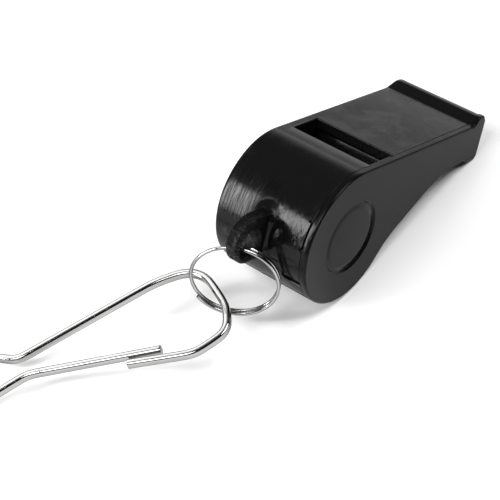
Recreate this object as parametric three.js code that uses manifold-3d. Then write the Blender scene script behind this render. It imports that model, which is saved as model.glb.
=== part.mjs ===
// Training whistle: a moulded pea whistle with a welded side cover, a split ring and a wire hook.
// Millimetres, +Z up. The whistle rests on its round chamber and on its lower lip, the ring hangs
// from the lug at the back, and the hook's far end lies on the surface that the whistle stands on.
import * as THREE from 'three';
import { mergeVertices } from 'three/addons/utils/BufferGeometryUtils.js';
import Module from 'manifold-3d';

const wasm = await Module();
wasm.setup();

const degrees = Math.PI / 180;

// Whistle, in its own axes: x to the mouthpiece, y across the width, z away from the roof.
const chamberRadius = 11.4;
const chamberBore = 9.7;
const halfWidth = 9;
const farWallInside = 7.3;
const seam = -7.85;
const seamGap = 0.3;
const edgeRadius = 0.5;
const coverEdgeRadius = 0.35;
const mouthEnd = 35;
const lipStart = 31.3;
const lipHeight = 1.05;
const lowerLip = 4.5;
const lowerLipRound = 1.1;

// The whistle tips forward about its chamber until the rounded lower lip touches the surface too.
const lipX = mouthEnd - lowerLipRound;
const lipZ = lowerLip + lowerLipRound;
const restPitch = Math.atan2(lipZ, lipX) + Math.asin((chamberRadius - lowerLipRound) / Math.hypot(lipX, lipZ));

// Underside, from the chamber to the mouthpiece.
const bellyAngle = -35 * degrees;
const bellyRadius = 16.6;
const bellySlope = 32.8 * degrees;
const throat = { x: 23.7, z: 4.2, radius: 15 };

// Sound window in the roof, and the windway that feeds it.
const windowBack = 2.7;
const windowFront = 9.1;
const windwayExit = { floor: 9.0, roof: 9.9 };
const windwayMouth = { floor: 6.2, roof: 10.0 };
const blockEdge = 10.2;
const plugClearance = 0.3;
const plugFace = -7.4;

// Shallow groove on the cover, concentric with the chamber.
const grooveRadius = 6.2;
const grooveWidth = 0.5;
const grooveDepth = 0.3;

// Lug at the back of the chamber, with its eye.
const lug = { x: -14.9, z: 0.2, radius: 3.8, halfThickness: 1.2, flare: 1.3 };
const eye = { x: -15.4, z: -0.25, radius: 2.15, chamfer: 0.5 };

const peaRadius = 4.4;
const peaClearance = 0.3;

// Split ring: a flat-wound wire, a little under two turns, hanging in an almost upright plane.
const ring = { radius: 6.86, wire: 0.58, pitch: 0.72, turns: 1.6 };
const ringCentre = new THREE.Vector3(-16.1, 1.26, 10.43);
const ringHeading = 31 * degrees;
const ringLean = 6.7 * degrees;
const ringStart = 64 * degrees;

// Wire hook: one bent wire. Its axes run along it from the nose, and across it.
const hook = { wire: 1.2, thickness: 1.45, edge: 0.32 };
const hookNose = new THREE.Vector3(-20.28, -0.14, 7.7);
const hookHeading = 136.3 * degrees;
const hookSlope = 8.3 * degrees;
const armWaist = { x: 34, y: 1.5 };
const gateWaist = { x: 32.4, y: -1.8 };
const tailEnd = 47.4;
const tailHalf = 7.9;
const gateTip = 10.8;
const noseSideTip = 16.2;
const gateJoint = 30.2;

function arc(x, y, radius, from, to, steps) {
  const points = [];
  for (let i = 0; i <= steps; i += 1) {
    const angle = from + ((to - from) * i) / steps;
    points.push(new THREE.Vector2(x + radius * Math.cos(angle), y + radius * Math.sin(angle)));
  }
  return points;
}

// Turns [x, y, radius] corners into points, with an arc in place of each corner that has a radius.
function roundCorners(corners, closed) {
  const points = [];
  const count = corners.length;
  corners.forEach(([x, y, radius = 0], i) => {
    const here = new THREE.Vector2(x, y);
    const isEnd = !closed && (i === 0 || i === count - 1);
    if (!radius || isEnd) {
      points.push(here);
      return;
    }
    const before = corners[(i + count - 1) % count];
    const after = corners[(i + 1) % count];
    const back = new THREE.Vector2(before[0], before[1]).sub(here).normalize();
    const ahead = new THREE.Vector2(after[0], after[1]).sub(here).normalize();
    const half = Math.acos(THREE.MathUtils.clamp(back.dot(ahead), -1, 1)) / 2;
    const centre = back.clone().add(ahead).normalize().multiplyScalar(radius / Math.sin(half)).add(here);
    const start = back.clone().multiplyScalar(radius / Math.tan(half)).add(here).sub(centre);
    const end = ahead.clone().multiplyScalar(radius / Math.tan(half)).add(here).sub(centre);
    let turn = end.angle() - start.angle();
    if (turn > Math.PI) turn -= 2 * Math.PI;
    if (turn < -Math.PI) turn += 2 * Math.PI;
    const steps = Math.max(2, Math.ceil(Math.abs(turn) / (14 * degrees)));
    points.push(...arc(centre.x, centre.y, radius, start.angle(), start.angle() + turn, steps));
  });
  return points;
}

// Moves every point of a closed, counterclockwise outline inwards by the same distance.
function inset(outline, distance) {
  return outline.map((point, i) => {
    const before = outline[(i + outline.length - 1) % outline.length];
    const after = outline[(i + 1) % outline.length];
    const first = point.clone().sub(before).normalize();
    const second = after.clone().sub(point).normalize();
    const normal = new THREE.Vector2(-first.y - second.y, first.x + second.x).normalize();
    const stretch = Math.max(0.5, normal.dot(new THREE.Vector2(-first.y, first.x)));
    return point.clone().addScaledVector(normal, distance / stretch);
  });
}

// A closed body with the outline stacked along +Z: each layer is [height, inset].
function stack(outline, layers) {
  const count = outline.length;
  const positions = [];
  layers.forEach(([height, distance]) => {
    inset(outline, distance).forEach((point) => positions.push(point.x, point.y, height));
  });
  const indices = [];
  for (let layer = 0; layer < layers.length - 1; layer += 1) {
    for (let i = 0; i < count; i += 1) {
      const a = layer * count + i;
      const b = layer * count + ((i + 1) % count);
      indices.push(a, b, b + count, a, b + count, a + count);
    }
  }
  const top = (layers.length - 1) * count;
  THREE.ShapeUtils.triangulateShape(outline, []).forEach(([a, b, c]) => {
    indices.push(c, b, a, top + a, top + b, top + c);
  });
  const geometry = new THREE.BufferGeometry();
  geometry.setAttribute('position', new THREE.Float32BufferAttribute(positions, 3));
  geometry.setIndex(indices);
  return geometry;
}

// Lays a stacked body on its side, so that its outline is in x and z and its height runs along +y.
function acrossWidth(geometry) {
  return geometry.rotateX(Math.PI / 2).scale(1, -1, 1);
}

function solid(geometry) {
  const bare = geometry.clone();
  bare.deleteAttribute('normal');
  bare.deleteAttribute('uv');
  const merged = mergeVertices(bare, 1e-5);
  const mesh = new wasm.Mesh({
    numProp: 3,
    vertProperties: merged.attributes.position.array,
    triVerts: Uint32Array.from(merged.index.array),
  });
  return new wasm.Manifold(mesh);
}

function geometryOf(manifold) {
  const mesh = manifold.getMesh();
  const geometry = new THREE.BufferGeometry();
  geometry.setAttribute('position', new THREE.BufferAttribute(new Float32Array(mesh.vertProperties), 3));
  geometry.setIndex(new THREE.BufferAttribute(new Uint32Array(mesh.triVerts), 1));
  geometry.computeVertexNormals();
  return geometry;
}

// A straight slab across the width of the whistle, from one y to the other.
function slab(outline, from, to) {
  return solid(flip(acrossWidth(stack(outline, [[from, 0], [to, 0]]))));
}

// Mirroring turns a mesh inside out, so its triangles are turned back.
function flip(geometry) {
  const order = geometry.index.array;
  for (let i = 0; i < order.length; i += 3) {
    [order[i + 1], order[i + 2]] = [order[i + 2], order[i + 1]];
  }
  return geometry;
}

// Side view of the whistle, counterclockwise from the top of the chamber. The corners at the top
// of the mouthpiece differ between the moulded body and the side cover.
function sideView(mouthCorners) {
  const bellyX = (chamberRadius + bellyRadius) * Math.cos(bellyAngle);
  const bellyZ = (chamberRadius + bellyRadius) * Math.sin(bellyAngle);
  const underside = roundCorners(
    [
      [throat.x - 6, throat.z - 6 * Math.tan(bellySlope)],
      [throat.x, throat.z, throat.radius],
      [lipStart - 0.3, throat.z + 0.95, 0.8],
      [lipStart + 0.6, lowerLip, 0.8],
      [mouthEnd, lowerLip, lowerLipRound],
      ...mouthCorners,
    ],
    false,
  );
  return [
    ...arc(0, 0, chamberRadius, 90 * degrees, 360 * degrees + bellyAngle, 46),
    ...arc(bellyX, bellyZ, bellyRadius, 180 * degrees + bellyAngle, 90 * degrees + bellySlope, 4).slice(1),
    ...underside.slice(1),
  ];
}

function bodyOutline() {
  return sideView([
    [mouthEnd + 0.15, chamberRadius + lipHeight, 0.5],
    [mouthEnd - 0.8, chamberRadius + lipHeight, 0.6],
    [lipStart, chamberRadius, 1.2],
    [windowFront, chamberRadius],
  ]);
}

function coverOutline() {
  return sideView([
    [mouthEnd, chamberRadius + 0.4, 0.6],
    [mouthEnd - 0.7, chamberRadius + lipHeight + 0.3, 0.6],
    [mouthEnd - 2.2, chamberRadius + lipHeight + 0.3, 0.7],
    [lipStart + 0.3, chamberRadius, 0.8],
    [windowFront, chamberRadius],
  ]);
}

// Window, windway and the sloping front of the block, joined to the bore of the chamber.
function airway() {
  const above = chamberRadius + 0.2;
  const outline = [
    [windowBack, above],
    [windowBack, chamberRadius - 0.35],
    [0.9, 9.5],
    [4, 3],
    [8.4, 4.6],
    [blockEdge, windwayExit.floor],
    [mouthEnd + 1, windwayMouth.floor],
    [mouthEnd + 1, windwayMouth.roof],
    [windowFront, windwayExit.roof],
    [windowFront, above],
  ];
  return outline.map(([x, z]) => new THREE.Vector2(x, z));
}

function bore(radius) {
  return arc(0, 0, radius, 0, 360 * degrees, 64).slice(0, -1);
}

function lugSolid() {
  const root = -chamberRadius + 1.2;
  const side = [
    ...arc(lug.x, lug.z, lug.radius, 90 * degrees, 270 * degrees, 16),
    new THREE.Vector2(root, lug.z - lug.radius),
    new THREE.Vector2(root, lug.z + lug.radius),
  ];
  const tab = solid(
    flip(
      acrossWidth(
        stack(side, [
          [-lug.halfThickness, 0.3],
          [0.3 - lug.halfThickness, 0],
          [lug.halfThickness - 0.3, 0],
          [lug.halfThickness, 0.3],
        ]),
      ),
    ),
  );
  const plan = roundCorners(
    [
      [root, lug.halfThickness + lug.flare],
      [-chamberRadius, lug.halfThickness + lug.flare],
      [-chamberRadius - 0.1, lug.halfThickness, lug.flare],
      [-chamberRadius - 2.4, lug.halfThickness - 0.1],
      [-chamberRadius - 2.4, 0.1 - lug.halfThickness],
      [-chamberRadius - 0.1, -lug.halfThickness, lug.flare],
      [-chamberRadius, -lug.halfThickness - lug.flare],
      [root, -lug.halfThickness - lug.flare],
    ],
    true,
  );
  const reach = lug.radius - 0.3;
  const flare = solid(stack(plan, [[lug.z - reach, 0], [lug.z + reach, 0]]));
  return tab.add(flare);
}

function eyeCutter() {
  const outer = eye.radius + eye.chamfer;
  const half = lug.halfThickness;
  const profile = [
    [0, -half - 1],
    [outer, -half - 1],
    [outer, -half],
    [eye.radius, eye.chamfer - half],
    [eye.radius, half - eye.chamfer],
    [outer, half],
    [outer, half + 1],
    [0, half + 1],
  ].map(([x, y]) => new THREE.Vector2(x, y));
  return solid(new THREE.LatheGeometry(profile, 32).translate(eye.x, 0, eye.z));
}

function whistleBody() {
  const outer = solid(
    flip(
      acrossWidth(
        stack(bodyOutline(), [
          [seam + seamGap / 2, 0],
          [halfWidth - edgeRadius, 0],
          [halfWidth - 0.3 * edgeRadius, 0.3 * edgeRadius],
          [halfWidth, edgeRadius],
        ]),
      ),
    ),
  );
  const chamber = slab(bore(chamberBore), seam - 1, farWallInside);
  const windway = slab(airway(), seam - 1, farWallInside);
  return geometryOf(outer.add(lugSolid()).subtract(chamber).subtract(windway).subtract(eyeCutter()));
}

function grooveCutter() {
  const inner = grooveRadius - grooveWidth;
  const profile = [
    [inner, -1],
    [grooveRadius, -1],
    [grooveRadius, grooveDepth],
    [inner, grooveDepth],
    [inner, -1],
  ].map(([x, y]) => new THREE.Vector2(x, y));
  return solid(new THREE.LatheGeometry(profile, 64).translate(0, -halfWidth, 0));
}

function sideCover() {
  const plate = solid(
    flip(
      acrossWidth(
        stack(coverOutline(), [
          [-halfWidth, coverEdgeRadius],
          [0.3 * coverEdgeRadius - halfWidth, 0.3 * coverEdgeRadius],
          [coverEdgeRadius - halfWidth, 0],
          [seam - seamGap / 2, 0],
        ]),
      ),
    ),
  );
  const plug = slab(bore(chamberBore - plugClearance), seam - 0.5, plugFace);
  const windwayPlug = slab(inset(airway(), plugClearance), seam - 0.5, plugFace);
  const inside = slab(inset(coverOutline(), 0.4), seam - 1, plugFace + 1);
  const plugs = plug.add(windwayPlug).intersect(inside);
  return geometryOf(plate.add(plugs).subtract(grooveCutter()));
}

// The wire's centre line: a coil whose turns lie one behind the other.
class RingCurve extends THREE.Curve {
  getPoint(t) {
    const angle = ringStart - 2 * Math.PI * ring.turns * t;
    const depth = ring.pitch * ring.turns * (t - 0.5);
    return new THREE.Vector3(ring.radius * Math.cos(angle), ring.radius * Math.sin(angle), depth);
  }
}

function splitRing() {
  const section = new THREE.Shape(arc(0, 0, ring.wire / 2, 0, 360 * degrees, 8).slice(0, -1));
  const steps = Math.round(40 * ring.turns);
  return new THREE.ExtrudeGeometry(section, { steps, extrudePath: new RingCurve(), bevelEnabled: false });
}

// Outline of a wire of the given width that follows an open path.
function wireOutline(path, width) {
  const left = [];
  const right = [];
  path.forEach((point, i) => {
    const before = path[Math.max(0, i - 1)];
    const after = path[Math.min(path.length - 1, i + 1)];
    const ahead = after.clone().sub(before).normalize();
    const side = new THREE.Vector2(-ahead.y, ahead.x).multiplyScalar(width / 2);
    left.push(point.clone().add(side));
    right.push(point.clone().sub(side));
  });
  return [...right, ...left.reverse()];
}

function flatWire(corners) {
  const outline = wireOutline(roundCorners(corners, false), hook.wire);
  const half = hook.thickness / 2;
  return stack(outline, [
    [-half, hook.edge],
    [hook.edge - half, 0],
    [half - hook.edge, 0],
    [half, hook.edge],
  ]);
}

function gateLine(x) {
  const share = (x - gateTip) / (gateWaist.x - gateTip);
  return THREE.MathUtils.lerp(-3.75, gateWaist.y, share);
}

function hookFrame() {
  return flatWire([
    [noseSideTip, -5.0],
    [5.6, -6.2, 4.2],
    [0.2, -3.6, 3.2],
    [-0.2, 1.2, 5],
    [3.2, 10.6, 5.2],
    [11, 9.6, 9],
    [armWaist.x, armWaist.y, 3],
    [tailEnd, tailHalf, 1.6],
    [tailEnd, -tailHalf, 1.6],
    [gateWaist.x, gateWaist.y, 2],
    [gateJoint + 0.3, gateLine(gateJoint + 0.3)],
  ]);
}

function hookGate() {
  return flatWire([
    [gateJoint, gateLine(gateJoint)],
    [gateTip, gateLine(gateTip)],
  ]);
}

function named(name, geometry, colour, roughness, metalness) {
  const material = new THREE.MeshStandardMaterial({ color: colour, roughness, metalness });
  const mesh = new THREE.Mesh(geometry, material);
  mesh.name = name;
  return mesh;
}

function buildWhistle() {
  const whistle = new THREE.Group();
  const pea = new THREE.SphereGeometry(peaRadius, 24, 16);
  const orbit = chamberBore - peaRadius - peaClearance;
  pea.translate(orbit * Math.sin(restPitch), 0, -orbit * Math.cos(restPitch));
  whistle.add(
    named('whistle_body', whistleBody(), 0x0b0b0c, 0.2, 0),
    named('side_cover', sideCover(), 0x0c0c0d, 0.22, 0),
    named('pea', pea, 0xb08a5a, 0.85, 0),
  );
  whistle.rotation.y = restPitch;
  whistle.position.z = chamberRadius;
  return whistle;
}

function buildRing() {
  const mesh = named('split_ring', splitRing(), 0xd4d6d9, 0.18, 1);
  const away = new THREE.Vector3(
    -Math.cos(ringLean) * Math.cos(ringHeading),
    -Math.cos(ringLean) * Math.sin(ringHeading),
    Math.sin(ringLean),
  );
  const level = new THREE.Vector3(0, 0, 1).cross(away).normalize();
  const upright = away.clone().cross(level);
  mesh.applyMatrix4(new THREE.Matrix4().makeBasis(level, upright, away));
  mesh.position.copy(ringCentre);
  return mesh;
}

function buildHook() {
  const group = new THREE.Group();
  group.add(
    named('hook_frame', hookFrame(), 0xd0d2d5, 0.2, 1),
    named('hook_gate', hookGate(), 0xd0d2d5, 0.2, 1),
  );
  const along = new THREE.Vector3(
    Math.cos(hookSlope) * Math.cos(hookHeading),
    Math.cos(hookSlope) * Math.sin(hookHeading),
    -Math.sin(hookSlope),
  );
  const across = new THREE.Vector3(0, 0, 1).cross(along).normalize().negate();
  const normal = along.clone().cross(across);
  group.applyMatrix4(new THREE.Matrix4().makeBasis(along, across, normal));
  group.position.copy(hookNose);
  return group;
}

// The origin is below the middle of the whole assembly, on the surface that it stands on.
const group = new THREE.Group();
group.add(buildWhistle(), buildRing(), buildHook());
group.updateMatrixWorld(true);
const bounds = new THREE.Box3().setFromObject(group, true);
group.position.set(-(bounds.min.x + bounds.max.x) / 2, -(bounds.min.y + bounds.max.y) / 2, -bounds.min.z);

export default group;
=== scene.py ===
# Looks of the training whistle: moulded whistle, welded side cover, cork pea, split ring and wire hook.
# Pieces are shaped in millimetres on their own axes and then placed in the frame, which is in metres.
import math

import bmesh
import bpy
from mathutils import Matrix, Vector, noise


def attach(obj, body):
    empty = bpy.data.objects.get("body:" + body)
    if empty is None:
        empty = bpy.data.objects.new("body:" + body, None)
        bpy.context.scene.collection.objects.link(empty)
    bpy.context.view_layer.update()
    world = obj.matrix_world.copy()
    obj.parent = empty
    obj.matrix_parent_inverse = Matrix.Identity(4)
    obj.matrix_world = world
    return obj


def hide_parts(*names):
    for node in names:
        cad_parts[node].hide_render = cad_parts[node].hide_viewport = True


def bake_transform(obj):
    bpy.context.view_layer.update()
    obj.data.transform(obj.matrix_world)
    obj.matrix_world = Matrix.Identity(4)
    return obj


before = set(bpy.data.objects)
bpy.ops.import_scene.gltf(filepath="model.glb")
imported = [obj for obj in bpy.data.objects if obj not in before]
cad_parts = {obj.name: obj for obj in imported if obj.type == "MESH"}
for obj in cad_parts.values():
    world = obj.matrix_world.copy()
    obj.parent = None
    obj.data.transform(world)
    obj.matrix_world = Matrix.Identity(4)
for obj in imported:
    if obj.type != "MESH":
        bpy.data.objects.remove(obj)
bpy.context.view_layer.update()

MM = 0.001
DEG = math.pi / 180

# Whistle, on its own axes: x to the mouthpiece, y across the width, z away from the roof.
CHAMBER_RADIUS = 11.4
CHAMBER_BORE = 9.7
HALF_WIDTH = 9.0
FAR_WALL_INSIDE = 7.3
SEAM = -7.85
SEAM_HALF_GAP = 0.03
FAR_EDGE_RADIUS = 0.5
COVER_EDGE_RADIUS = 0.35
SEAM_EDGE_RADIUS = 0.07
MOUTH_END = 35.0
LIP_START = 31.3
LIP_HEIGHT = 1.05
LOWER_LIP = 4.5
LOWER_LIP_ROUND = 1.1
BELLY_ANGLE = -35 * DEG
BELLY_RADIUS = 16.6
BELLY_SLOPE = 32.8 * DEG
THROAT_X, THROAT_Z, THROAT_RADIUS = 23.7, 4.2, 15.0
ARC_STEP = 1.5 * DEG

# Sound window, windway and block.
WINDOW_BACK = 2.7
WINDOW_FRONT = 9.1
WINDWAY_EXIT_FLOOR, WINDWAY_EXIT_ROOF = 9.0, 9.9
WINDWAY_MOUTH_FLOOR, WINDWAY_MOUTH_ROOF = 6.2, 10.0
BLOCK_EDGE = 10.2
PLUG_CLEARANCE = 0.05
PLUG_FACE = -7.4
RIM_ROUND = 0.16

# Sunk disc of the cover, and the groove round it: a steep outer wall and a long inner slope.
GROOVE_RADIUS = 6.2
GROOVE_FLOOR = 5.84
GROOVE_SLOPE = 1.3
GROOVE_DEPTH = 0.3
DISC_DEPTH = 0.14

# Rounded far end of the lip, and the sink mark in the chamber's wall above the lug.
BODY_LAYER = 0.3
LIP_END_ROUND = 1.1
SINK_ANGLE, SINK_Y, SINK_DEPTH, SINK_LENGTH, SINK_WIDTH = 160 * DEG, 0.6, 0.13, 3.4, 1.7

# Details along the seam, by their angle round the chamber.
GAP_START, GAP_END, GAP_EDGE, GAP_BLOB = 152.8 * DEG, 176.5 * DEG, -7.58, 0.38
NOTCH_CORNERS = [(-3 * DEG, -8.3), (3 * DEG, -8.3), (0.5 * DEG, -7.1), (-0.5 * DEG, -7.1)]
SLOT_START, SLOT_END, SLOT_EDGE, SLOT_DEPTH = 205.5 * DEG, 212 * DEG, -4.3, 0.3

LUG_X, LUG_Z, LUG_RADIUS = -14.9, 0.2, 3.8
LUG_HALF_THICKNESS, LUG_FLARE, LUG_TOP_FLARE, LUG_ROUND = 1.2, 1.3, 1.5, 0.5
LUG_VOXEL, LUG_SOFTENING = 0.11, 9
EYE_X, EYE_Z, EYE_RADIUS, EYE_ROUND = -15.4, -0.25, 2.15, 0.5

PEA_RADIUS = 4.4
PEA_ORBIT = 5.0
PEA_PITS = [(1.1, 0.16), (2.4, 0.12)]
PEA_PIT_REACH = 0.32

RING_RADIUS, RING_WIRE, RING_PITCH, RING_TURNS = 6.86, 0.58, 0.72, 1.6
RING_CENTRE = Vector((-16.1, 1.26, 10.43))
RING_HEADING, RING_LEAN, RING_START = 31 * DEG, 6.7 * DEG, 64 * DEG

RING_CUT_ROUND = 0.08

HOOK_WIRE, HOOK_THICKNESS, HOOK_EDGE = 1.2, 1.45, 0.4
HOOK_CUT_ROUND, GATE_CUT_ROUND = 0.01, 0.1
HOOK_NOSE = Vector((-20.28, -0.14, 7.7))
HOOK_HEADING, HOOK_SLOPE = 136.3 * DEG, 8.3 * DEG
GATE_TIP, GATE_TIP_Y = 10.8, -3.75
GATE_WAIST, GATE_WAIST_Y = 32.4, -1.8
GATE_JOINT = 30.2
TAIL_X, TAIL_HALF, TAIL_ROUND = 47.4, 7.9, 1.6
PATH_STEP, PATH_EASING = 0.25, 40
END_STEPS = 3

# The whole assembly's shift, which brings the frame's origin below its middle.
SHIFT = Vector((11.1369, -14.1350, 0.0089))

# Finishes: colours are linear, and gloss is the plastic's specular level.
BODY_BLACK, BODY_GLOSS = (0.0035, 0.0035, 0.0038, 1), 0.12
COVER_BLACK, COVER_GLOSS = (0.0032, 0.0032, 0.0035, 1), 0.092
# The second nickel colour is painted shade, blended in towards the wires' outlines.
NICKEL, NICKEL_PAINTED_SHADE = (0.42, 0.418, 0.412, 1), (0.02, 0.02, 0.021, 1)
CORK_DARK, CORK_LIGHT, CORK_PORE = (0.42, 0.24, 0.11, 1), (0.62, 0.42, 0.24, 1), (0.09, 0.045, 0.02, 1)
FLOOR_DARK, FLOOR_LIGHT = (0.87, 0.87, 0.87, 1), (0.9, 0.9, 0.9, 1)
# Middle of the dull strip of wall behind the lug, across the width.
LUG_SHADE_Y = 1.0

# Camera: where it stands in millimetres, where it looks, and its lens on a 36 mm sensor.
CAMERA_SPOT = Vector((-111.88, -134.23, 202.03))
CAMERA_AZIMUTH, CAMERA_ELEVATION, CAMERA_ROLL = 47.5 * DEG, -48.89 * DEG, 10.43 * DEG
CAMERA_LENS, CAMERA_SENSOR = 117.7, 36

# Studio, in metres: floor, bright band along part of the horizon, and soft boxes.
FLOOR_WALL, FLOOR_WALL_ROUND, FLOOR_WALL_SLOPE, FLOOR_SIDES = 1.1, 0.25, 40 * DEG, 128
BAND_AZIMUTH, BAND_FULL, BAND_TOP = 30 * DEG, 4 * DEG, 24 * DEG
BAND_FACING_START, BAND_FACING_FULL = 0.65, 0.93
BAND_COLOUR = (1.75, 1.75, 1.76, 1)
SKY_FRONT, SKY_BACK, SKY_EASE = 0.03, 0.24, 0.45
# Each soft box: azimuth, elevation, distance, width, height and power in watts.
SOFT_BOXES = {
    "right": (-42 * DEG, 56 * DEG, 0.9, 0.55, 0.45, 6.6),
    "left": (172 * DEG, 58 * DEG, 0.9, 0.45, 0.4, 4.6),
    "rear": (80 * DEG, 40 * DEG, 0.9, 0.42, 0.34, 1.05),
    "side": (143 * DEG, 23 * DEG, 0.8, 0.17, 0.56, 8.0),
}

lip_x = MOUTH_END - LOWER_LIP_ROUND
lip_z = LOWER_LIP + LOWER_LIP_ROUND
REST_PITCH = math.atan2(lip_z, lip_x) + math.asin(
    (CHAMBER_RADIUS - LOWER_LIP_ROUND) / math.hypot(lip_x, lip_z)
)
CHAMBER_CENTRE = SHIFT + Vector((0, 0, CHAMBER_RADIUS))
WHISTLE_PLACE = (
    Matrix.Scale(MM, 4) @ Matrix.Translation(CHAMBER_CENTRE) @ Matrix.Rotation(REST_PITCH, 4, "Y")
)


def axes_place(first, second, third, origin):
    """Matrix that puts a shape made in millimetres on these three axes, at this origin."""
    axes = Matrix((first, second, third)).transposed().to_4x4()
    return Matrix.Scale(MM, 4) @ Matrix.Translation(origin) @ axes


def direction(azimuth, elevation):
    """Unit vector that points this way."""
    level = math.cos(elevation)
    return Vector((level * math.cos(azimuth), level * math.sin(azimuth), math.sin(elevation)))


# ---------------------------------------------------------------- outlines


def arc(x, z, radius, start, end, step=ARC_STEP):
    """Points along an arc, as (x, z) pairs."""
    count = max(2, math.ceil(abs(end - start) / step))
    angles = [start + (end - start) * i / count for i in range(count + 1)]
    return [(x + radius * math.cos(a), z + radius * math.sin(a)) for a in angles]


def round_corners(corners, closed, step=8 * DEG):
    """Turns (x, y, radius) corners into points, with an arc at each corner that has a radius."""
    points = []
    count = len(corners)
    for i, corner in enumerate(corners):
        here = Vector(corner[:2])
        radius = corner[2] if len(corner) > 2 else 0
        if not radius or (not closed and i in (0, count - 1)):
            points.append(tuple(here))
            continue
        back = (Vector(corners[i - 1][:2]) - here).normalized()
        ahead = (Vector(corners[(i + 1) % count][:2]) - here).normalized()
        half = math.acos(max(-1, min(1, back.dot(ahead)))) / 2
        centre = here + (back + ahead).normalized() * (radius / math.sin(half))
        start = here + back * (radius / math.tan(half)) - centre
        end = here + ahead * (radius / math.tan(half)) - centre
        first = math.atan2(start.y, start.x)
        turn = (math.atan2(end.y, end.x) - first + math.pi) % (2 * math.pi) - math.pi
        points += arc(centre.x, centre.y, radius, first, first + turn, step)
    return points


def inset(outline, distance):
    """Moves every point of a closed, counterclockwise outline inwards by the same distance."""
    moved = []
    count = len(outline)
    for i in range(count):
        here = Vector(outline[i])
        first = (here - Vector(outline[i - 1])).normalized()
        second = (Vector(outline[(i + 1) % count]) - here).normalized()
        normal = Vector((-first.y - second.y, first.x + second.x)).normalized()
        stretch = max(0.5, normal.dot(Vector((-first.y, first.x))))
        moved.append(tuple(here + normal * (distance / stretch)))
    return moved


def side_view(mouth_corners):
    """Side view of the whistle, counterclockwise from the top of the chamber."""
    belly_x = (CHAMBER_RADIUS + BELLY_RADIUS) * math.cos(BELLY_ANGLE)
    belly_z = (CHAMBER_RADIUS + BELLY_RADIUS) * math.sin(BELLY_ANGLE)
    chamber = arc(0, 0, CHAMBER_RADIUS, 90 * DEG, 360 * DEG + BELLY_ANGLE)
    belly = arc(belly_x, belly_z, BELLY_RADIUS, 180 * DEG + BELLY_ANGLE, 90 * DEG + BELLY_SLOPE)
    underside = round_corners(
        [
            (THROAT_X - 6, THROAT_Z - 6 * math.tan(BELLY_SLOPE)),
            (THROAT_X, THROAT_Z, THROAT_RADIUS),
            (LIP_START - 0.3, THROAT_Z + 0.95, 0.8),
            (LIP_START + 0.6, LOWER_LIP, 0.8),
            (MOUTH_END, LOWER_LIP, LOWER_LIP_ROUND),
        ]
        + mouth_corners,
        False,
    )
    return chamber + belly[1:] + underside[1:]


def body_outline():
    return side_view(
        [
            (MOUTH_END + 0.15, CHAMBER_RADIUS + LIP_HEIGHT, 0.9),
            (MOUTH_END - 1.6, CHAMBER_RADIUS + LIP_HEIGHT, 1.2),
            (LIP_START, CHAMBER_RADIUS, 0.5),
            (WINDOW_FRONT, CHAMBER_RADIUS),
        ]
    )


def cover_outline():
    return side_view(
        [
            (MOUTH_END, CHAMBER_RADIUS + 0.4, 0.6),
            (MOUTH_END - 0.7, CHAMBER_RADIUS + LIP_HEIGHT + 0.3, 0.6),
            (MOUTH_END - 2.2, CHAMBER_RADIUS + LIP_HEIGHT + 0.3, 0.7),
            (LIP_START + 0.3, CHAMBER_RADIUS, 0.8),
            (WINDOW_FRONT, CHAMBER_RADIUS),
        ]
    )


def airway():
    """Window, windway and the sloping front of the block, joined to the bore of the chamber."""
    above = CHAMBER_RADIUS + 0.2
    return [
        (WINDOW_BACK, above),
        (WINDOW_BACK, CHAMBER_RADIUS - 0.35),
        (0.9, 9.5),
        (4, 3),
        (8.4, 4.6),
        (BLOCK_EDGE, WINDWAY_EXIT_FLOOR),
        (MOUTH_END + 1, WINDWAY_MOUTH_FLOOR),
        (MOUTH_END + 1, WINDWAY_MOUTH_ROOF),
        (WINDOW_FRONT, WINDWAY_EXIT_ROOF),
        (WINDOW_FRONT, above),
    ]


# ---------------------------------------------------------------- meshes


def new_object(name, mesh):
    made = bpy.data.objects.new(name, mesh)
    bpy.context.scene.collection.objects.link(made)
    return made


def object_from(name, points, faces):
    mesh = bpy.data.meshes.new(name)
    mesh.from_pydata([tuple(p) for p in points], [], faces)
    work = bmesh.new()
    work.from_mesh(mesh)
    bmesh.ops.remove_doubles(work, verts=work.verts, dist=1e-5)
    bmesh.ops.recalc_face_normals(work, faces=work.faces)
    work.to_mesh(mesh)
    work.free()
    return new_object(name, mesh)


def skin(name, rings):
    """A closed body through rings of points, capped at both ends."""
    count = len(rings[0])
    points = [p for ring in rings for p in ring]
    faces = []
    for layer in range(len(rings) - 1):
        for i in range(count):
            here = layer * count + i
            beside = layer * count + (i + 1) % count
            faces.append((here, beside, beside + count, here + count))
    faces.append(tuple(range(count)))
    faces.append(tuple(range((len(rings) - 1) * count, len(rings) * count)))
    return object_from(name, points, faces)


def edge_layers(low, high, low_round, high_round, steps=6):
    """Layers of (height, inset) for a slab with rounded edges at both faces."""
    layers = set()
    for i in range(steps + 1):
        turn = 90 * DEG * i / steps
        rise, inwards = 1 - math.sin(turn), 1 - math.cos(turn)
        layers.add((low + low_round * rise, low_round * inwards))
        layers.add((high - high_round * rise, high_round * inwards))
    return sorted(layers)


def slab(name, outline, layers):
    """A slab across the width of the whistle: its outline is in x and z, and its layers are along y."""
    rings = []
    for height, distance in layers:
        ring = inset(outline, distance) if distance else outline
        rings.append([(x, height, z) for x, z in ring])
    return skin(name, rings)


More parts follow.
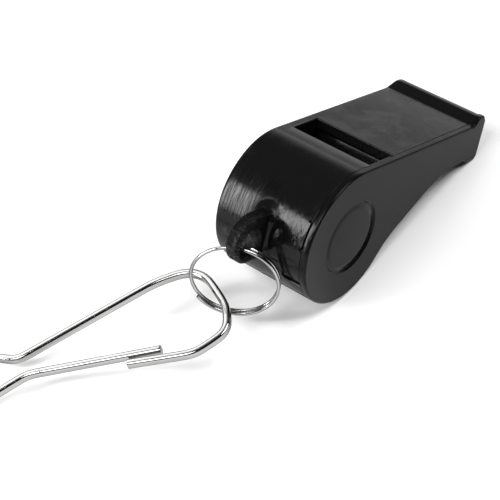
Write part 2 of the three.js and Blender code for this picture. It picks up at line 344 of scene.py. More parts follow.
def turned(name, profile, x, z, sides):
    """A body turned about an axis along y, from (radius, y) pairs. Ends off the axis are capped."""
    points, faces = [], []
    count = len(profile)
    for i in range(sides):
        angle = 2 * math.pi * i / sides
        points += [(x + r * math.cos(angle), y, z + r * math.sin(angle)) for r, y in profile]
    for i in range(sides):
        for j in range(count - 1):
            here = i * count + j
            beside = ((i + 1) % sides) * count + j
            faces.append((here, beside, beside + 1, here + 1))
    for end in (0, count - 1):
        if profile[end][0] > 0:
            faces.append(tuple(i * count + end for i in range(sides)))
    return object_from(name, points, faces)


def apply_modifiers(piece):
    bpy.context.view_layer.update()
    graph = bpy.context.evaluated_depsgraph_get()
    mesh = bpy.data.meshes.new_from_object(piece.evaluated_get(graph))
    old = piece.data
    piece.modifiers.clear()
    piece.data = mesh
    bpy.data.meshes.remove(old)


def combine(piece, tools, operation):
    """Joins or cuts the piece with each tool, and then removes the tools."""
    for tool in tools:
        step = piece.modifiers.new("combine", "BOOLEAN")
        step.operation = operation
        step.solver = "MANIFOLD"
        step.object = tool
    apply_modifiers(piece)
    for tool in tools:
        bpy.data.objects.remove(tool)


def place(piece, matrix):
    piece.data.transform(matrix)
    piece.data.update()


def smooth(piece, sharp_angle=32 * DEG):
    """Smooth shading, with sharp edges where the surface turns and flat faces kept flat."""
    for face in piece.data.polygons:
        face.use_smooth = True
    piece.data.set_sharp_from_angle(angle=sharp_angle)
    step = piece.modifiers.new("flat_faces", "WEIGHTED_NORMAL")
    step.keep_sharp = True
    step.weight = 80


def sweep(path, section, normals):
    """Rings along a path: section gives (across, up) pairs, normals gives each point's up direction."""
    rings = []
    for i, point in enumerate(path):
        ahead = (path[min(i + 1, len(path) - 1)] - path[max(i - 1, 0)]).normalized()
        across = normals[i].cross(ahead).normalized()
        rings.append([point + across * a + normals[i] * b for a, b in section])
    return rings


# ---------------------------------------------------------------- whistle


def bore(radius):
    return arc(0, 0, radius, 0, 360 * DEG)[:-1]


def lug():
    """Tab with softly rounded edges and a flared root, with the ripples of its moulding."""
    root = -CHAMBER_RADIUS + 1.2
    side = arc(LUG_X, LUG_Z, LUG_RADIUS, 90 * DEG, 270 * DEG, 4 * DEG)
    side += [(root, LUG_Z - LUG_RADIUS), (root, LUG_Z + LUG_RADIUS)]
    layers = edge_layers(-LUG_HALF_THICKNESS, LUG_HALF_THICKNESS, LUG_ROUND, LUG_ROUND)
    tab = slab("tab", side, layers)
    combine(tab, [lug_flare()], "UNION")
    even = tab.modifiers.new("even", "REMESH")
    even.mode = "VOXEL"
    even.voxel_size = LUG_VOXEL
    apply_modifiers(tab)
    soften = tab.modifiers.new("soften", "SMOOTH")
    soften.factor = 0.5
    soften.iterations = LUG_SOFTENING
    apply_modifiers(tab)
    ripple_lug(tab)
    return tab


def ripple_lug(tab):
    """Lifts the lug's skin by broad ripples, fine ripples and grit, most of all at its rim."""
    for point in tab.data.vertices:
        x, y, z = point.co
        outside = min(1, max(0, (-CHAMBER_RADIUS - 0.4 - x) / 2.5))
        reach = math.hypot(x - LUG_X, z - LUG_Z)
        rim = min(1, max(0, (reach - LUG_RADIUS + 1.3) / 0.9))
        broad = noise.noise(Vector((x * 0.9, y * 0.75, z * 0.9)) + Vector((3.1, 0, 7.7)))
        fine = noise.noise(Vector((x * 2.3, y * 1.9, z * 2.3)))
        grit = noise.noise(Vector((x * 5.1, y * 4.6, z * 5.1)))
        lift = (0.09 * broad + 0.09 * fine + 0.06 * grit) * outside * (0.25 + 0.75 * rim)
        point.co += point.normal * lift


def lug_flare():
    """Hollow-curved skirt where the tab leaves the round chamber."""
    rings = []
    steps = 12
    for i in range(-1, steps + 1):
        depth = LUG_FLARE * i / steps
        rest = LUG_FLARE - max(0, depth)
        grow = LUG_FLARE - math.sqrt(LUG_FLARE**2 - rest**2)
        half_y = LUG_HALF_THICKNESS - 0.15 + grow
        half_z = LUG_RADIUS - 0.55 + grow * LUG_TOP_FLARE
        corner = half_y - 0.02
        shape = [
            (half_y, half_z, corner),
            (-half_y, half_z, corner),
            (-half_y, -half_z, corner),
            (half_y, -half_z, corner),
        ]
        ring = []
        for y, z in round_corners(shape, True, 6 * DEG):
            height = LUG_Z + z
            surface = math.sqrt(max(0, CHAMBER_RADIUS**2 - height**2))
            out = depth if i >= 0 else -1.0
            ring.append((-surface - out, y, height))
        rings.append(ring)
    return skin("flare", rings)


def eye_cutter():
    """Tool for the eye of the lug, with a rounded rim on both faces."""
    half = LUG_HALF_THICKNESS
    waist = EYE_RADIUS + EYE_ROUND
    outer = waist + 0.25
    profile = [(outer, -half - 1.5), (outer, -half - 0.12)]
    profile += arc(waist, -half + EYE_ROUND, EYE_ROUND, 270 * DEG, 180 * DEG, 15 * DEG)
    profile += arc(waist, half - EYE_ROUND, EYE_ROUND, 180 * DEG, 90 * DEG, 15 * DEG)
    profile += [(outer, half + 0.12), (outer, half + 1.5)]
    return turned("eye", profile, EYE_X, EYE_Z, 96)


def rim_cutter():
    """Tool that rounds the upper edges of the sound window."""
    levels = []
    for i in range(5):
        turn = 90 * DEG * i / 4
        rise = RIM_ROUND * (math.sin(turn) - 1)
        levels.append((CHAMBER_RADIUS + rise, RIM_ROUND * (1 - math.cos(turn))))
    levels.append((CHAMBER_RADIUS + 0.4, RIM_ROUND))
    rings = []
    for height, grow in levels:
        back, front = WINDOW_BACK - grow, WINDOW_FRONT + grow
        near, far = SEAM - 1, FAR_WALL_INSIDE + grow
        rings.append([(back, near, height), (front, near, height), (front, far, height), (back, far, height)])
    return skin("rim", rings)


def on_chamber(angle, radius, y):
    """Point at this angle and distance from the chamber's axis."""
    return (radius * math.cos(angle), y, radius * math.sin(angle))


def band_cutter(name, start, end, low, high, depth, ease):
    """Tool for a shallow recess in the round of the chamber, with sloping sides."""
    rings = []
    steps = max(6, math.ceil((end - start) / (2 * DEG)))
    for radius, grow in (
        (CHAMBER_RADIUS - depth, 0.0),
        (CHAMBER_RADIUS - ease, 0.0),
        (CHAMBER_RADIUS + 0.02, ease),
        (CHAMBER_RADIUS + 0.4, ease),
    ):
        turn = grow / CHAMBER_RADIUS
        angles = [start - turn + (end - start + 2 * turn) * i / steps for i in range(steps + 1)]
        ring = [on_chamber(angle, radius, low - grow) for angle in angles]
        ring += [on_chamber(angle, radius, high + grow) for angle in reversed(angles)]
        rings.append(ring)
    return skin(name, rings)


def seam_tools():
    """Weld gap that opens beside the lug, its ends, and the slot where the cover is prised off."""
    gap = band_cutter("gap", GAP_START, GAP_END, SEAM - 0.3, GAP_EDGE, 0.5, 0.04)
    blob = bmesh.new()
    bmesh.ops.create_icosphere(blob, subdivisions=3, radius=GAP_BLOB)
    mesh = bpy.data.meshes.new("blob")
    blob.to_mesh(mesh)
    blob.free()
    end = new_object("blob", mesh)
    place(end, Matrix.Translation(Vector(on_chamber(GAP_END, CHAMBER_RADIUS, GAP_EDGE - 0.1))))
    notch = [
        [on_chamber(GAP_START + a, r, y) for a, y in NOTCH_CORNERS]
        for r in (CHAMBER_RADIUS - 0.4, CHAMBER_RADIUS + 0.3)
    ]
    slot = band_cutter("slot", SLOT_START, SLOT_END, SEAM - 0.3, SLOT_EDGE, SLOT_DEPTH, 0.06)
    return [gap, end, skin("notch", notch), slot]


def shape_surface(body):
    """Rounds the far end of the lip, and sinks the wall a little where the thick lug cools behind it."""
    for point in body.data.vertices:
        x, y, z = point.co
        over = z - CHAMBER_RADIUS
        if x > LIP_START - 1 and over > 0:
            share = min(1, max(0, (y - HALF_WIDTH + LIP_END_ROUND) / LIP_END_ROUND))
            point.co.z = CHAMBER_RADIUS + over * math.sqrt(max(0.04, 1 - share * share))
        radius = math.hypot(x, z)
        if abs(radius - CHAMBER_RADIUS) < 0.02 and x < 0:
            along = (math.atan2(z, x) % (2 * math.pi) - SINK_ANGLE) * CHAMBER_RADIUS / SINK_LENGTH
            aside = (y - SINK_Y) / SINK_WIDTH
            sink = SINK_DEPTH * math.exp(-along * along - aside * aside)
            point.co.x -= sink * x / radius
            point.co.z -= sink * z / radius


def whistle_body():
    """Moulded body: outer shape, lug, bore, airway, window and the marks along the seam."""
    near = SEAM + SEAM_HALF_GAP
    layers = edge_layers(near, HALF_WIDTH, SEAM_EDGE_RADIUS, FAR_EDGE_RADIUS - 0.02)
    start, end = layers[len(layers) // 2 - 1][0], layers[len(layers) // 2][0]
    count = math.ceil((end - start) / BODY_LAYER)
    layers += [(start + (end - start) * i / count, 0) for i in range(1, count)]
    body = slab("moulded_body", body_outline(), sorted(layers))
    shape_surface(body)
    combine(body, [lug()], "UNION")
    chamber = slab("chamber", bore(CHAMBER_BORE), [(SEAM - 1, 0), (FAR_WALL_INSIDE, 0)])
    windway = slab("windway", airway(), [(SEAM - 1, 0), (FAR_WALL_INSIDE, 0)])
    tools = [chamber, windway, rim_cutter(), eye_cutter()] + seam_tools()
    combine(body, tools, "DIFFERENCE")
    return body


def groove_cutter():
    """Tool for the sunk disc: down the steep outer wall of its groove, and up the long inner slope."""
    top = -HALF_WIDTH
    outer = GROOVE_RADIUS + 0.15
    profile = [(0, top - 1), (outer, top - 1), (outer, top - 0.02), (GROOVE_RADIUS + 0.05, top + 0.02)]
    profile += [(GROOVE_RADIUS - 0.1, top + GROOVE_DEPTH * 0.55), (GROOVE_RADIUS - 0.22, top + GROOVE_DEPTH)]
    profile.append((GROOVE_FLOOR, top + GROOVE_DEPTH))
    steps = 8
    for i in range(1, steps + 1):
        share = i / steps
        eased = share * share * (3 - 2 * share)
        radius = GROOVE_FLOOR + (GROOVE_RADIUS - GROOVE_SLOPE - GROOVE_FLOOR) * share
        profile.append((radius, top + GROOVE_DEPTH + (DISC_DEPTH - GROOVE_DEPTH) * eased))
    profile.append((0, top + DISC_DEPTH))
    return turned("groove", profile, 0, 0, 192)


def side_cover():
    """Welded cover: its plate, the plug that closes the bore and airway, and the sunk disc."""
    inner = SEAM - SEAM_HALF_GAP
    layers = edge_layers(-HALF_WIDTH, inner, COVER_EDGE_RADIUS, SEAM_EDGE_RADIUS)
    plate = slab("welded_cover", cover_outline(), layers)
    plug = slab("plug", bore(CHAMBER_BORE - PLUG_CLEARANCE), [(SEAM - 0.5, 0), (PLUG_FACE, 0)])
    fill = slab("fill", inset(airway(), PLUG_CLEARANCE), [(SEAM - 0.5, 0), (PLUG_FACE, 0)])
    combine(plug, [fill], "UNION")
    inside = slab("inside", inset(cover_outline(), 0.25), [(SEAM - 1, 0), (PLUG_FACE + 1, 0)])
    combine(plug, [inside], "INTERSECT")
    combine(plate, [plug], "UNION")
    combine(plate, [groove_cutter()], "DIFFERENCE")
    return plate


def cork_pea():
    """Cork ball, slightly out of round, with the pits that cork has."""
    work = bmesh.new()
    bmesh.ops.create_icosphere(work, subdivisions=6, radius=PEA_RADIUS)
    for point in work.verts:
        way = point.co.normalized()
        pits = 0
        for scale, depth in PEA_PITS:
            near = noise.voronoi(way * PEA_RADIUS * scale)[0][0]
            pits -= depth * max(0, PEA_PIT_REACH - near) / PEA_PIT_REACH
        dents = 0.05 * noise.noise(way * 6) - 0.05
        point.co = way * (PEA_RADIUS + pits + dents)
    mesh = bpy.data.meshes.new("cork_pea")
    work.to_mesh(mesh)
    work.free()
    pea = new_object("cork_pea", mesh)
    low = Vector((PEA_ORBIT * math.sin(REST_PITCH), 0, -PEA_ORBIT * math.cos(REST_PITCH)))
    place(pea, Matrix.Translation(low))
    return pea


# ---------------------------------------------------------------- wires


def mark_wire(piece, lengths, sides):
    """Keeps how far along and how far round the wire each point is, for the drawn lines."""
    along = piece.data.attributes.new("wire_along", "FLOAT", "POINT")
    around = piece.data.attributes.new("wire_around", "FLOAT", "POINT")
    for i in range(len(piece.data.vertices)):
        ring, side = divmod(i, sides)
        along.data[i].value = lengths[ring]
        around.data[i].value = side / sides


def end_ring(ring, centre, outward, drop, reach):
    """The wire's last ring, drawn in and moved outwards, for a slightly rounded cut end."""
    moved = []
    for point in ring:
        offset = point - centre
        moved.append(centre + offset * (1 - drop / offset.length) + outward * reach)
    return moved


def wire(name, path, section, normals, matrix, end_round):
    """A wire with plain cut ends that are slightly rounded."""
    rings = sweep(path, section, normals)
    lengths = [0.0]
    for i in range(1, len(path)):
        lengths.append(lengths[-1] + (path[i] - path[i - 1]).length)
    first, last = rings[0], rings[-1]
    before = (path[0] - path[1]).normalized()
    after = (path[-1] - path[-2]).normalized()
    for step in range(1, END_STEPS + 1):
        turn = 90 * DEG * step / END_STEPS
        drop = end_round * (1 - math.cos(turn))
        reach = end_round * math.sin(turn)
        rings.insert(0, end_ring(first, path[0], before, drop, reach))
        rings.append(end_ring(last, path[-1], after, drop, reach))
        lengths.insert(0, lengths[0] - reach)
        lengths.append(lengths[-1] + reach)
    piece = skin(name, rings)
    mark_wire(piece, lengths, len(section))
    place(piece, matrix)
    smooth(piece, 50 * DEG)
    return piece


def split_ring():
    """Ring wound a little more than one and a half turns, like a flat spring."""
    away = direction(RING_HEADING + math.pi, RING_LEAN)
    level = Vector((0, 0, 1)).cross(away).normalized()
    upright = away.cross(level)
    matrix = axes_place(level, upright, away, RING_CENTRE + SHIFT)
    steps = 360
    path, normals = [], []
    for i in range(steps + 1):
        share = i / steps
        outward = direction(RING_START - 2 * math.pi * RING_TURNS * share, 0)
        normals.append(outward)
        path.append(outward * RING_RADIUS + Vector((0, 0, RING_PITCH * RING_TURNS * (share - 0.5))))
    section = arc(0, 0, RING_WIRE / 2, 0, 360 * DEG, 15 * DEG)[:-1]
    return wire("ring_wire", path, section, normals, matrix, RING_CUT_ROUND)


def gate_line(x):
    """Height of the straight gate arm at this distance along the hook."""
    share = (x - GATE_TIP) / (GATE_WAIST - GATE_TIP)
    return GATE_TIP_Y + (GATE_WAIST_Y - GATE_TIP_Y) * share


def hook_axes():
    along = direction(HOOK_HEADING, -HOOK_SLOPE)
    across = along.cross(Vector((0, 0, 1))).normalized()
    return axes_place(along, across, along.cross(across), HOOK_NOSE + SHIFT)


def even_path(corners, spacing, rounds):
    """Rounded path with points at most this far apart, eased by this many rounds of averaging."""
    rough = [Vector(p) for p in round_corners(corners, False, 5 * DEG)]
    path = [rough[0]]
    for point in rough[1:]:
        count = max(1, math.ceil((point - path[-1]).length / spacing))
        start = path[-1]
        for i in range(1, count + 1):
            path.append(start.lerp(point, i / count))
    for _ in range(rounds):
        inner = [(path[i - 1] + path[i] * 2 + path[i + 1]) / 4 for i in range(1, len(path) - 1)]
        path = [path[0]] + inner + [path[-1]]
    return [Vector((p.x, p.y, 0)) for p in path]


def hook_section():
    """Flattened wire: a rectangle with rounded edges."""
    half_w, half_t = HOOK_WIRE / 2, HOOK_THICKNESS / 2
    corners = [(half_w, -half_t, HOOK_EDGE), (half_w, half_t, HOOK_EDGE)]
    corners += [(-half_w, half_t, HOOK_EDGE), (-half_w, -half_t, HOOK_EDGE)]
    return round_corners(corners, True, 15 * DEG)


def hook_frame():
    """From the cut end below the gate round the nose, along the far arm, the tail and the waist."""
    corners = [
        (16.2, -4.8),
        (5.6, -6.1, 4.2),
        (0.2, -3.6, 3.2),
        (-0.2, 1.2, 5),
        (3.2, 10.6, 5.2),
        (11, 9.6, 9),
        (34, 1.5, 3),
        (TAIL_X, TAIL_HALF, TAIL_ROUND),
        (TAIL_X, -TAIL_HALF, TAIL_ROUND),
        (GATE_WAIST, GATE_WAIST_Y, 2),
        (GATE_JOINT, gate_line(GATE_JOINT)),
    ]
    path = even_path(corners, PATH_STEP, PATH_EASING)
    normals = [Vector((0, 0, 1))] * len(path)
    return wire("hook_wire", path, hook_section(), normals, hook_axes(), HOOK_CUT_ROUND)


def hook_gate():
    """Straight arm from the waist to its free end above the hook's cut end."""
    start = Vector((GATE_JOINT, gate_line(GATE_JOINT), 0))
    tip = Vector((GATE_TIP, gate_line(GATE_TIP), 0))
    path = [start.lerp(tip, i / 60) for i in range(61)]
    normals = [Vector((0, 0, 1))] * len(path)
    return wire("hook_gate_wire", path, hook_section(), normals, hook_axes(), GATE_CUT_ROUND)


# ---------------------------------------------------------------- materials


class Nodes:
    """Small helper that builds the nodes of a material or of the world."""

    def __init__(self, owner, shader="Principled BSDF"):
        owner.use_nodes = True
        self.owner = owner
        self.tree = owner.node_tree
        self.shader = self.tree.nodes[shader]

    def add(self, kind, inputs=None, **settings):
        node = self.tree.nodes.new(kind)
        for key, value in settings.items():
            setattr(node, key, value)
        for key, value in (inputs or {}).items():
            self.feed(node.inputs[key], value)
        return node

    def feed(self, socket, value):
        if isinstance(value, bpy.types.NodeSocket):
            self.tree.links.new(value, socket)
        else:
            socket.default_value = value

    def math(self, operation, first, second=0.0, clamp=False):
        node = self.add("ShaderNodeMath", operation=operation, use_clamp=clamp)
        self.feed(node.inputs[0], first)
        self.feed(node.inputs[1], second)
        return node.outputs[0]

    def product(self, first, second):
        return self.math("MULTIPLY", first, second)

    def vector(self, operation, first, second=(0, 0, 0)):
        node = self.add("ShaderNodeVectorMath", operation=operation)
        self.feed(node.inputs[0], first)
        self.feed(node.inputs[1], second)
        return node.outputs[0]

    def noise(self, vector, scale, detail=4, roughness=0.5, distortion=0.0):
        node = self.add(
            "ShaderNodeTexNoise",
            {
                "Vector": vector,
                "Scale": scale,
                "Detail": detail,
                "Roughness": roughness,
                "Distortion": distortion,
            },
        )
        return node.outputs["Fac"]

    def span(self, value, low, high, to_low, to_high, smooth_step=False):
        node = self.add("ShaderNodeMapRange", clamp=True)
        if smooth_step:
            node.interpolation_type = "SMOOTHSTEP"
        self.feed(node.inputs["Value"], value)
        node.inputs["From Min"].default_value = low
        node.inputs["From Max"].default_value = high
        node.inputs["To Min"].default_value = to_low
        node.inputs["To Max"].default_value = to_high
        return node.outputs["Result"]

    def blend(self, share, first, second):
        node = self.add("ShaderNodeMix", data_type="RGBA")
        self.feed(node.inputs["Factor"], share)
        self.feed(node.inputs["A"], first)
        self.feed(node.inputs["B"], second)
        return node.outputs["Result"]

    def facing(self):
        """0 where the surface faces the viewer, 1 at its outline."""
        return self.add("ShaderNodeLayerWeight", {"Blend": 0.5}).outputs["Facing"]

    def place(self):
        """The piece's own coordinates in millimetres."""
        place = self.add("ShaderNodeTexCoord").outputs["Object"]
        return self.vector("MULTIPLY", place, (1000, 1000, 1000))

    def bump(self, height, distance, strength=1.0, normal=None):
        node = self.add(
            "ShaderNodeBump", {"Height": height, "Distance": distance, "Strength": strength}
        )
        if normal is not None:
            self.feed(node.inputs["Normal"], normal)
        return node.outputs["Normal"]

    def scratches(self, vector, angle, stretch, scale, width):
        """Fine lines that run along one direction, from a stretched noise cut to narrow bands."""
        rotated = self.add(
            "ShaderNodeVectorRotate", {"Vector": vector, "Angle": angle}, rotation_type="Z_AXIS"
        )
        long = self.vector("MULTIPLY", rotated.outputs[0], (1, stretch, 1))
        lines = self.noise(long, scale, 2, 0.45, 0.1)
        near = self.math("ABSOLUTE", self.math("SUBTRACT", lines, 0.5))
        return self.span(near, 0, width, 1, 0)


def whistle_space(n):
    """The whistle's own axes in millimetres, from the frame's."""
    place_node = n.add("ShaderNodeTexCoord")
    moved = n.vector("SUBTRACT", place_node.outputs["Object"], tuple(CHAMBER_CENTRE * MM))
    turned_node = n.add(
        "ShaderNodeVectorRotate", {"Vector": moved, "Angle": -REST_PITCH}, rotation_type="Y_AXIS"
    )
    return n.vector("MULTIPLY", turned_node.outputs[0], (1000, 1000, 1000))


def plastic(name, base, gloss, rough_low, rough_high, seed):
    """Glossy black moulded plastic, with moulding waves, fine scuffs and slightly dulled edges."""
    n = Nodes(bpy.data.materials.new(name))
    spot = n.vector("ADD", whistle_space(n), (seed, 0.3 * seed, 0))
    x, y, z = n.add("ShaderNodeSeparateXYZ", {0: whistle_space(n)}).outputs
    angle = n.math("ARCTAN2", z, x)
    radius = n.math("SQRT", n.math("ADD", n.product(x, x), n.product(z, z)))
    around = n.product(angle, CHAMBER_RADIUS)
    wrapped = n.add("ShaderNodeCombineXYZ", {0: around, 1: y, 2: radius}).outputs[0]

    # Where things are: the chamber's curved wall, its back round the lug, and the lug itself.
    on_wall = n.span(radius, CHAMBER_RADIUS - 0.6, CHAMBER_RADIUS - 0.3, 0, 1)
    at_back = n.product(on_wall, n.span(angle, 2.3, 2.5, 0, 1, True))
    rubbed = n.product(n.span(y, 1.6, 3.2, 0.25, 1, True), at_back)
    scuffed = n.product(n.span(y, -1.5, -0.5, 1, 0, True), at_back)
    beside_lug = n.math("ABSOLUTE", n.math("SUBTRACT", y, LUG_SHADE_Y))
    shaded = n.product(n.span(beside_lug, 0.7, 1.9, 0.6, 0, True), at_back)
    on_lug = n.span(x, -CHAMBER_RADIUS - 1.4, -CHAMBER_RADIUS - 0.3, 1, 0, True)

    # Scratches, streaks round the chamber, and wear on edges.
    rub = n.scratches(wrapped, 90 * DEG, 0.07, 3.4, 0.02)
    hair = n.scratches(wrapped, 1.35, 0.05, 5.5, 0.012)
    cross = n.scratches(spot, 0.5, 0.04, 2.6, 0.008)
    patches = n.span(n.noise(spot, 0.22, 3, 0.6), 0.45, 0.62, 0, 1, True)
    lines = n.product(n.math("ADD", rub, hair), n.product(patches, on_wall))
    lines = n.math("ADD", lines, n.product(cross, 0.5))
    streaks = n.noise(n.vector("MULTIPLY", wrapped, (0.05, 1, 1)), 5.5, 2, 0.6)
    edge = n.add("ShaderNodeNewGeometry").outputs["Pointiness"]
    broken = n.span(n.noise(spot, 2.2, 4, 0.6), 0.42, 0.6, 0, 1)
    wear = n.product(n.span(edge, 0.515, 0.6, 0, 1, True), broken)

    grazing = n.facing()
    rough = n.span(n.noise(spot, 0.35, 5, 0.62), 0.3, 0.75, rough_low, rough_high)
    rough = n.math("SUBTRACT", rough, n.product(scuffed, 0.07))
    for amount, share in ((n.product(streaks, rubbed), 0.04), (lines, 0.04), (wear, 0.12), (on_lug, 0.14)):
        rough = n.math("ADD", rough, n.product(amount, share))
    rough = n.math("ADD", rough, n.span(grazing, 0.8, 0.99, 0, 0.4, True), clamp=True)
    n.feed(n.shader.inputs["Roughness"], rough)

    # Gloss fades at the outline, runs in streaks on the rubbed wall, and is speckled on the lug.
    combed = n.product(n.math("SUBTRACT", streaks, 0.5), n.product(rubbed, 3.4))
    combed = n.math("ADD", n.math("SUBTRACT", combed, shaded), 1)
    speckle = n.span(n.noise(spot, 2.4, 5, 0.75), 0.44, 0.62, -0.55, 0.75)
    speckle = n.math("ADD", n.product(on_lug, speckle), 1)
    shine = n.product(n.span(grazing, 0.62, 0.95, gloss, 0.1 * gloss, True), combed)
    n.feed(n.shader.inputs["Specular IOR Level"], n.math("MULTIPLY", shine, speckle, clamp=True))

    lighter = tuple(min(1, c * 3 + 0.006) for c in base[:3]) + (1,)
    tint = n.blend(n.product(wear, 0.6), base, lighter)
    dust = n.span(n.noise(spot, 7, 3, 0.6), 0.7, 0.8, 0, 0.35)
    n.feed(n.shader.inputs["Base Color"], n.blend(dust, tint, lighter))

    # Relief: broad waves, orange peel and the lug's grit, then lines, streaks and scuffs on top.
    waves = n.product(n.noise(spot, 0.16, 2, 0.5), 0.04)
    peel = n.product(n.noise(spot, 1.6, 3, 0.55), 0.008)
    grit = n.product(n.noise(spot, 2.6, 5, 0.7), n.product(on_lug, 1.1))
    scuffs = n.noise(n.vector("MULTIPLY", wrapped, (0.6, 1, 1)), 1.1, 5, 0.6, 0.8)
    normal = n.bump(n.math("ADD", n.math("ADD", waves, peel), grit), 0.00012)
    normal = n.bump(lines, 0.000004, 0.6, normal)
    normal = n.bump(n.product(streaks, rubbed), 0.00002, 1.0, normal)
    normal = n.bump(n.product(scuffs, scuffed), 0.00003, 1.0, normal)
    n.feed(n.shader.inputs["Normal"], normal)
    return n.owner


def nickel(name, seed, painted_shade_start):
    """Bright nickel plate over drawn steel wire: lines along it, faint haze, and painted shade that darkens
    its colour towards the outline.
    """
    n = Nodes(bpy.data.materials.new(name))
    along = n.add("ShaderNodeAttribute", attribute_name="wire_along").outputs["Fac"]
    around = n.add("ShaderNodeAttribute", attribute_name="wire_around").outputs["Fac"]
    joined = n.add("ShaderNodeCombineXYZ", {0: along, 1: n.product(around, 40), 2: seed})
    spot = n.place()
    drawn = n.noise(n.vector("MULTIPLY", joined.outputs[0], (0.12, 1, 1)), 1.6, 3, 0.6)
    nicks = n.span(n.noise(spot, 3.2, 3, 0.55), 0.62, 0.72, 0, 1)
    rough = n.span(n.noise(spot, 0.5, 4, 0.6), 0.3, 0.75, 0.04, 0.1)
    rough = n.math("ADD", rough, n.product(drawn, 0.04))
    rough = n.math("ADD", rough, n.product(nicks, 0.12), clamp=True)
    n.feed(n.shader.inputs["Roughness"], rough)
    darker = tuple(c * 0.72 for c in NICKEL[:3]) + (1,)
    tint = n.blend(n.span(drawn, 0.35, 0.7, 0, 0.5), NICKEL, darker)
    # Painted shade: the colour darkens towards the wire's outline, standing in for the dark reflections along
    # its edges.
    outline = n.span(n.facing(), painted_shade_start, painted_shade_start + 0.4, 0, 0.85, True)
    n.feed(n.shader.inputs["Base Color"], n.blend(outline, tint, NICKEL_PAINTED_SHADE))
    height = n.math("ADD", drawn, n.product(nicks, -0.6))
    n.feed(n.shader.inputs["Normal"], n.bump(height, 0.000008, 0.5))
    n.shader.inputs["Metallic"].default_value = 1.0
    return n.owner


def cork():
    """Pressed cork: warm tan grains with dark pores."""
    n = Nodes(bpy.data.materials.new("cork"))
    spot = n.place()
    grains = n.add("ShaderNodeTexVoronoi", {"Vector": spot, "Scale": 1.3})
    tone = n.noise(spot, 0.9, 5, 0.65)
    pores = n.span(n.noise(spot, 3.0, 3, 0.6), 0.6, 0.72, 0, 1)
    tint = n.blend(n.span(tone, 0.35, 0.7, 0, 1), CORK_DARK, CORK_LIGHT)
    n.feed(n.shader.inputs["Base Color"], n.blend(n.product(pores, 0.8), tint, CORK_PORE))
    n.feed(n.shader.inputs["Roughness"], n.span(tone, 0.3, 0.7, 0.75, 0.95))
    height = n.math("SUBTRACT", grains.outputs["Distance"], pores)
    n.feed(n.shader.inputs["Normal"], n.bump(height, 0.00006, 0.7))
    return n.owner


def paint(piece, material):
    piece.data.materials.clear()
    piece.data.materials.append(material)


# ---------------------------------------------------------------- camera, floor and light


def make_camera():
    """Looks down on the whistle from behind its chamber, a little rolled."""
    ahead = direction(CAMERA_AZIMUTH, CAMERA_ELEVATION)
    right = ahead.cross(Vector((0, 0, 1))).normalized()
    up = right.cross(ahead)
    rolled_right = right * math.cos(CAMERA_ROLL) - up * math.sin(CAMERA_ROLL)
    rolled_up = up * math.cos(CAMERA_ROLL) + right * math.sin(CAMERA_ROLL)
    data = bpy.data.cameras.new("camera")
    data.sensor_width = CAMERA_SENSOR
    data.lens = CAMERA_LENS
    data.clip_start = 0.01
    data.clip_end = 20
    camera = new_object("camera", data)
    axes = Matrix((rolled_right, rolled_up, -ahead)).transposed().to_4x4()
    camera.matrix_world = Matrix.Translation(CAMERA_SPOT * MM) @ axes
    bpy.context.scene.camera = camera


def soft_box(name, azimuth, elevation, distance, width, height, power):
    """A rectangular light that faces the whistle from this direction."""
    data = bpy.data.lights.new(name, "AREA")
    data.shape = "RECTANGLE"
    data.size = width
    data.size_y = height
    data.energy = power
    light = new_object(name, data)
    way = direction(azimuth, elevation)
    light.location = CHAMBER_CENTRE * MM + way * distance
    light.rotation_mode = "QUATERNION"
    light.rotation_quaternion = (-way).to_track_quat("-Z", "Y")


def make_floor():
    """Round floor that rises into a low wall at its rim, like a paper sweep."""
    profile = [(0.02, 0), (0.3, 0), (FLOOR_WALL, 0)]
    for i in range(1, 9):
        turn = FLOOR_WALL_SLOPE * i / 8
        reach = FLOOR_WALL + FLOOR_WALL_ROUND * math.sin(turn)
        profile.append((reach, FLOOR_WALL_ROUND * (1 - math.cos(turn))))
    points, faces = [(0, 0, 0)], []
    for r, z in profile:
        for i in range(FLOOR_SIDES):
            angle = 2 * math.pi * i / FLOOR_SIDES
            points.append((r * math.cos(angle), r * math.sin(angle), z))
    for i in range(FLOOR_SIDES):
        beside = (i + 1) % FLOOR_SIDES
        faces.append((0, 1 + i, 1 + beside))
        for layer in range(len(profile) - 1):
            a = 1 + layer * FLOOR_SIDES + i
            b = 1 + layer * FLOOR_SIDES + beside
            faces.append((a, a + FLOOR_SIDES, b + FLOOR_SIDES, b))
    floor = object_from("floor", points, faces)
    for face in floor.data.polygons:
        face.use_smooth = True
    n = Nodes(bpy.data.materials.new("pale_floor"))
    grain = n.noise(n.add("ShaderNodeTexCoord").outputs["Object"], 60, 3, 0.5)
    n.feed(n.shader.inputs["Base Color"], n.blend(grain, FLOOR_DARK, FLOOR_LIGHT))
    n.shader.inputs["Roughness"].default_value = 0.9
    n.shader.inputs["Specular IOR Level"].default_value = 0.1
    paint(floor, n.owner)


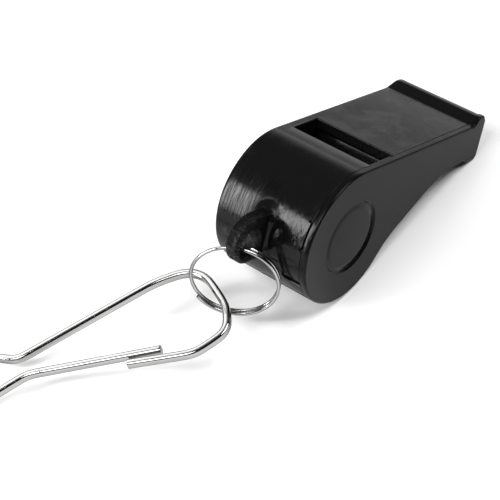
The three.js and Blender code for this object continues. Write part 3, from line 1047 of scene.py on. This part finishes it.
def make_light():
    """Sky that is dark in front and grey behind, a bright band at the horizon, and the soft boxes."""
    n = Nodes(bpy.data.worlds.new("studio"), "Background")
    way = n.add("ShaderNodeTexCoord").outputs["Generated"]
    _, y, z = n.add("ShaderNodeSeparateXYZ", {0: way}).outputs
    to_band = n.add("ShaderNodeVectorMath", {0: way, 1: direction(BAND_AZIMUTH, 0)}, operation="DOT_PRODUCT")
    low = n.span(z, math.sin(BAND_TOP), math.sin(BAND_FULL), 0, 1, True)
    along = n.span(to_band.outputs["Value"], BAND_FACING_START, BAND_FACING_FULL, 0, 1, True)
    sky = n.span(y, 0, SKY_EASE, SKY_FRONT, SKY_BACK, True)
    n.feed(n.shader.inputs["Color"], n.blend(n.product(low, along), sky, BAND_COLOUR))
    bpy.context.scene.world = n.owner
    for name, settings in SOFT_BOXES.items():
        soft_box(name, *settings)


scene = bpy.context.scene
scene.view_settings.view_transform = "Standard"
scene.view_settings.look = "None"

make_camera()
make_floor()
make_light()

body_plastic = plastic("body_plastic", BODY_BLACK, BODY_GLOSS, rough_low=0.13, rough_high=0.16, seed=0)
cover_plastic = plastic("cover_plastic", COVER_BLACK, COVER_GLOSS, rough_low=0.13, rough_high=0.19, seed=17)
ring_metal = nickel("ring_nickel", seed=0, painted_shade_start=0.2)
hook_metal = nickel("hook_nickel", seed=9, painted_shade_start=0.3)

body = whistle_body()
place(body, WHISTLE_PLACE)
smooth(body)
paint(body, body_plastic)
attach(body, "whistle")
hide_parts("whistle_body")

cover = side_cover()
place(cover, WHISTLE_PLACE)
smooth(cover)
paint(cover, cover_plastic)
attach(cover, "whistle")
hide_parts("side_cover")

pea = cork_pea()
place(pea, WHISTLE_PLACE)
smooth(pea, 80 * DEG)
paint(pea, cork())
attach(pea, "pea")
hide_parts("pea")

ring = split_ring()
paint(ring, ring_metal)
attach(ring, "ring")
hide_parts("split_ring")

hook = hook_frame()
paint(hook, hook_metal)
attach(hook, "hook")
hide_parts("hook_frame")

gate = hook_gate()
paint(gate, hook_metal)
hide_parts("hook_gate")
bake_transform(gate)
